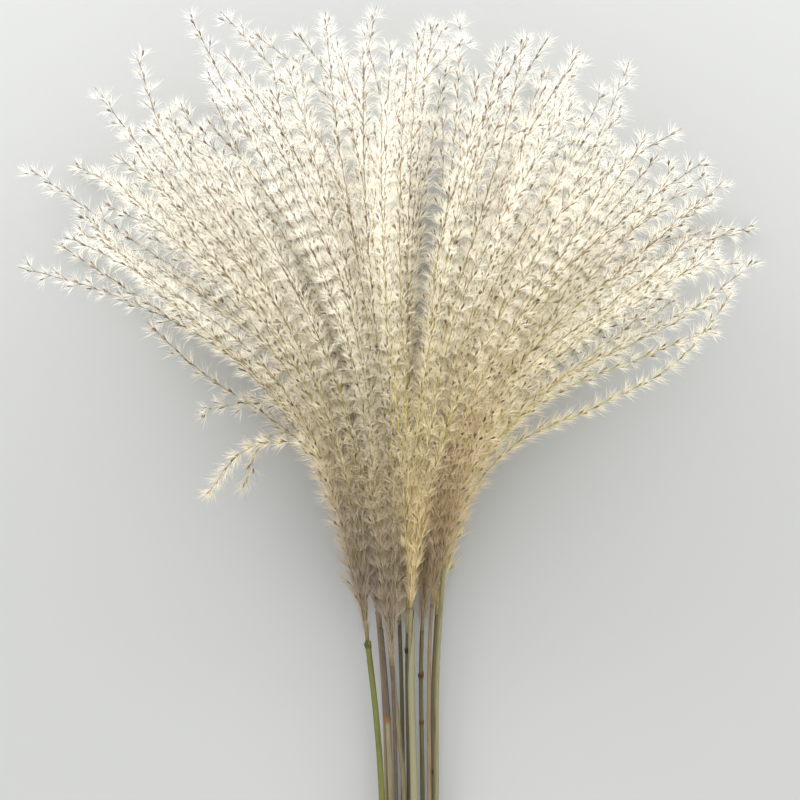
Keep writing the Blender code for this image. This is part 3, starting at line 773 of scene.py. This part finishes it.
def build_head(reed):
    """The flower head of a reed: its axis and racemes, with their spikelets and silky hairs."""
    node = f"reed_{reed.number:02d}_plume"
    middles, _ = straw_rings(f"reed_{reed.number:02d}_stem")
    foot = middles[-1]
    chance = np.random.default_rng(reed.number)
    heap = Heap()
    racemes = raceme_rings(node, foot)
    axis = plume_axis(racemes, foot)
    lengths = np.linspace(0, axis.length, AXIS_RINGS)
    marks = np.stack([place_of(axis.at(lengths), foot), np.full(AXIS_RINGS, AXIS_SHADE)], axis=1)
    widths = np.linspace(AXIS_FOOT, AXIS_TOP, AXIS_RINGS)
    tube(heap, axis, lengths, widths, AXIS_SIDES, STALK, marks[:, None])
    add_brush(heap, chance, axis, foot, AXIS_HAIRS)
    for middles in racemes:
        line = Line(middles)
        is_end = middles is racemes[-1]
        add_stalk(heap, chance, line, foot, END_STALK_FOOT if is_end else STALK_FOOT)
        root, stand, way, marks = spikelets_on(chance, line, foot)
        add_pedicels(heap, root, stand, way, marks)
        add_husks(heap, chance, stand, way, marks)
        add_tufts(heap, chance, stand, way, marks[:, 0])
        add_brush(heap, chance, line, foot, BRUSH_HAIRS)
    tone = TONES[reed.tone]
    head = heap.build(f"reed_{reed.number:02d}_head", [
        silk_finish(f"{reed.tone}_silk_{reed.number:02d}", tone),
        husk_finish(f"{reed.tone}_husk_{reed.number:02d}", tone),
        stalk_finish(f"{reed.tone}_stalk_{reed.number:02d}", tone),
    ], ("place", "shade"))
    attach(head, "root")
    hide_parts(node)


def joint_lengths(line, middles, widths):
    """Where a stem's solid swells, along its line, and its half width between its joints."""
    knots = np.interp(middles[:, 1], line.points[:, 1], line.lengths)
    inner = range(1, len(widths) - 1)
    joints = [place for place in inner
              if widths[place] > SOLID_SWELLING * max(widths[place - 1], widths[place + 1])]
    plain = [place for place in range(len(widths)) if place not in joints]
    return knots[joints], knots[plain], widths[plain]


def stain_marks(chance, lengths, angles, joints):
    """Brown stains along the upper side of the straw, one below each joint and some elsewhere."""
    stains = np.zeros((len(lengths), len(angles)))
    starts = list(joints) + list(chance.uniform(0, lengths[-1], STAINS))
    for start in starts:
        half = chance.uniform(*STAIN_HALF_LENGTH)
        middle = start - half
        turn = chance.uniform(0, pi)
        off = np.angle(np.exp(1j * (angles - turn))) / chance.uniform(*STAIN_HALF_WIDTH)
        shape = hump((lengths - middle) / half)[:, None] * hump(off)
        stains = np.maximum(stains, shape * chance.uniform(*STAIN_STRENGTH))
    return stains


def add_frays(heap, chance, line, length, width):
    """The torn fibres of a leaf sheath that stand round a joint."""
    angles = 2 * pi * (np.arange(FRAYS) + chance.uniform(-0.4, 0.4, FRAYS)) / FRAYS
    at = np.full(FRAYS, length - JOINT_HALF_LENGTH)
    way = line.way(at)
    level, up = across(way)
    outward = level * np.cos(angles)[:, None] + up * np.sin(angles)[:, None]
    lean = between(chance, FRAY_LEAN, FRAYS)[:, None]
    along = way * np.cos(lean) + outward * np.sin(lean)
    edge = np.cross(outward, way)
    stand = line.at(at) + outward * width
    reach = between(chance, FRAY_LENGTH, FRAYS)[:, None]
    broad = between(chance, FRAY_WIDTH, FRAYS)[:, None]
    marks = np.tile(FRAY_MARKS, (FRAYS, 1))
    cells = 6 * FRAYS
    charts = [(CHART_CORNERS[:3] + (place / cells, (1 + CHART_STRAW) / 2))
              for place in range(cells)]
    add_blades(heap, stand, along, edge, outward * FRAY_DEPTH, reach, broad, 0.4, 0, marks, charts)


def build_straw(reed):
    """The straw of a reed, round and jointed, with a hollow at its cut end."""
    node = f"reed_{reed.number:02d}_stem"
    chance = np.random.default_rng(100 + reed.number)
    middles, widths = straw_rings(node)
    line = Line(middles)
    joints, knots, radii = joint_lengths(line, middles, widths)
    lengths = np.linspace(CUT_BEVEL, line.length, int(line.length / STRAW_STEP))
    near = [joint + np.linspace(-JOINT_REACH, JOINT_REACH, JOINT_RINGS) for joint in joints]
    lengths = np.unique(np.clip(np.concatenate([lengths, *near]), CUT_BEVEL, line.length))
    width = np.interp(lengths, knots, radii)
    dark = np.zeros(len(lengths))
    for joint in joints:
        off = (lengths - joint) / JOINT_HALF_LENGTH
        width = width * (1 + JOINT_SWELLING * hump(off) - JOINT_WAIST * hump((off - 1.6) * 2))
        dark = np.maximum(dark, hump(off * 0.9))
    mouth = radii[0] * HOLLOW_SHARE
    lengths = np.concatenate([[HOLLOW_DEPTH, 0, 0], lengths])
    width = np.concatenate([[mouth, mouth, radii[0] - CUT_BEVEL], width])
    cut = np.zeros(len(lengths))
    cut[:3] = 1
    angles = 2 * pi * np.arange(STRAW_SIDES) / STRAW_SIDES
    stains = stain_marks(chance, lengths, angles, joints)
    turned = smooth((line.at(lengths)[:, 1] - reed.turn) / reed.soft + 0.5)
    marks = np.stack(np.broadcast_arrays(
        turned[:, None], np.concatenate([[0, 0, 0], dark])[:, None], stains, cut[:, None]), axis=-1)
    heap = Heap()
    tube(heap, line, lengths, width, STRAW_SIDES, 0, marks, chart_box=(0, 0, 1, CHART_STRAW))
    if reed.frayed:
        add_frays(heap, chance, line, joints.max(), np.interp(joints.max(), knots, radii))
    straw = heap.build(f"reed_{reed.number:02d}_straw", [
        straw_finish(f"straw_{reed.number:02d}", reed)], ("place", "joint", "stain", "cut"))
    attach(straw, "root")
    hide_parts(node)


def build_sheath():
    """A thin leaf sheath round a straw. It opens towards its mouth and ends in a narrow strip."""
    node = f"reed_{SHEATH_REED:02d}_sheath"
    low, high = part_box(node)
    middles, widths = straw_rings(f"reed_{SHEATH_REED:02d}_stem")
    line = Line(middles)
    _, knots, radii = joint_lengths(line, middles, widths)
    start, mouth = np.interp((low[1], high[1]), line.points[:, 1], line.lengths)
    top = min(mouth + SHEATH_STRIP, line.length)
    lengths = np.linspace(start, top, SHEATH_ROWS)
    gape = smooth((lengths - mouth) / SHEATH_SPLIT + 1) ** 2
    strip = smooth((lengths - mouth) / (top - mouth))
    half_arc = pi * (1 - SHEATH_SLIT - SHEATH_GAPE * gape) * (1 - SHEATH_NARROWING * strip)
    facing = SHEATH_OPENING + pi
    arc = facing + half_arc[:, None] * np.linspace(-1, 1, SHEATH_COLUMNS)
    wave_height, wave_length = SHEATH_WAVE
    inner = np.interp(lengths, knots, radii) + SHEATH_GAP
    inner = inner + wave_height * np.sin(lengths / wave_length)
    arms = ring_arms(line, lengths, arc)
    outside = line.at(lengths)[:, None] + arms * (inner + SHEATH_WALL)[:, None, None]
    inside = line.at(lengths)[:, None] + arms * inner[:, None, None]
    rows = np.concatenate([outside, inside[:, ::-1]], axis=1)
    edge = np.broadcast_to(smooth(np.linspace(-0.4, 1.2, SHEATH_COLUMNS)), arc.shape)
    edge = np.concatenate([edge, edge[:, ::-1]], axis=1)
    heap = Heap()
    add_skin(heap, rows, 0, edge[..., None], (0, 0, 1, 1))
    sheath = heap.build(f"{node}_leaf", [sheath_finish("dry_leaf_sheath")], ("edge",))
    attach(sheath, "root")
    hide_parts(node)


def build_floor():
    recipe = Recipe("pale_floor")
    soft = recipe.grain((2.2, 2.2, 2.2), 1.0)
    colour = recipe.blend(soft, (0.350, 0.357, 0.353), (0.372, 0.377, 0.372))
    finish = recipe.finish(recipe.surface(colour, 0.9, 0.1))
    half = 4.0
    mesh = bpy.data.meshes.new("floor")
    corners = [(-half, -half, 0), (half, -half, 0), (half, half, 0), (-half, half, 0)]
    mesh.from_pydata(corners, [], [(0, 1, 2, 3)])
    mesh.materials.append(finish)
    floor = bpy.data.objects.new("floor", mesh)
    bpy.context.scene.collection.objects.link(floor)


def add_softbox(name, place, target, size, power):
    lamp = bpy.data.lights.new(name, "AREA")
    lamp.shape = "RECTANGLE"
    lamp.size = size[0]
    lamp.size_y = size[1]
    lamp.energy = power
    item = bpy.data.objects.new(name, lamp)
    item.location = place
    item.rotation_euler = (Vector(target) - Vector(place)).to_track_quat("-Z", "Y").to_euler()
    item.visible_camera = False
    bpy.context.scene.collection.objects.link(item)


def light_studio():
    """A white room, and two low softboxes beyond the tips that light up the silky hairs."""
    world = bpy.data.worlds.new("soft_studio")
    world.use_nodes = True
    sky = world.node_tree.nodes["Background"]
    sky.inputs["Color"].default_value = (1.0, 0.995, 0.985, 1.0)
    sky.inputs["Strength"].default_value = 1.6
    bpy.context.scene.world = world
    add_softbox("left_softbox", (-0.60, 0.95, 0.42), (-0.05, 0.15, 0.05), (0.8, 0.5), 10)
    add_softbox("right_softbox", (0.65, 0.90, 0.40), (0.05, 0.15, 0.05), (0.8, 0.5), 8)


def place_camera():
    """Straight down on the bunch, so that it shows as in the photograph."""
    view = bpy.data.cameras.new("camera")
    view.sensor_width = SENSOR_WIDTH
    view.lens = SENSOR_WIDTH * CAMERA_AWAY / VIEW_WIDTH
    view.clip_end = 20
    camera = bpy.data.objects.new("camera", view)
    camera.location = (*VIEW_CENTRE, VIEW_HEIGHT + CAMERA_AWAY)
    bpy.context.scene.collection.objects.link(camera)
    bpy.context.scene.camera = camera
    bpy.context.scene.view_settings.view_transform = "Standard"


place_camera()
light_studio()
build_floor()
for reed in REEDS:
    build_straw(reed)
    build_head(reed)
build_sheath()
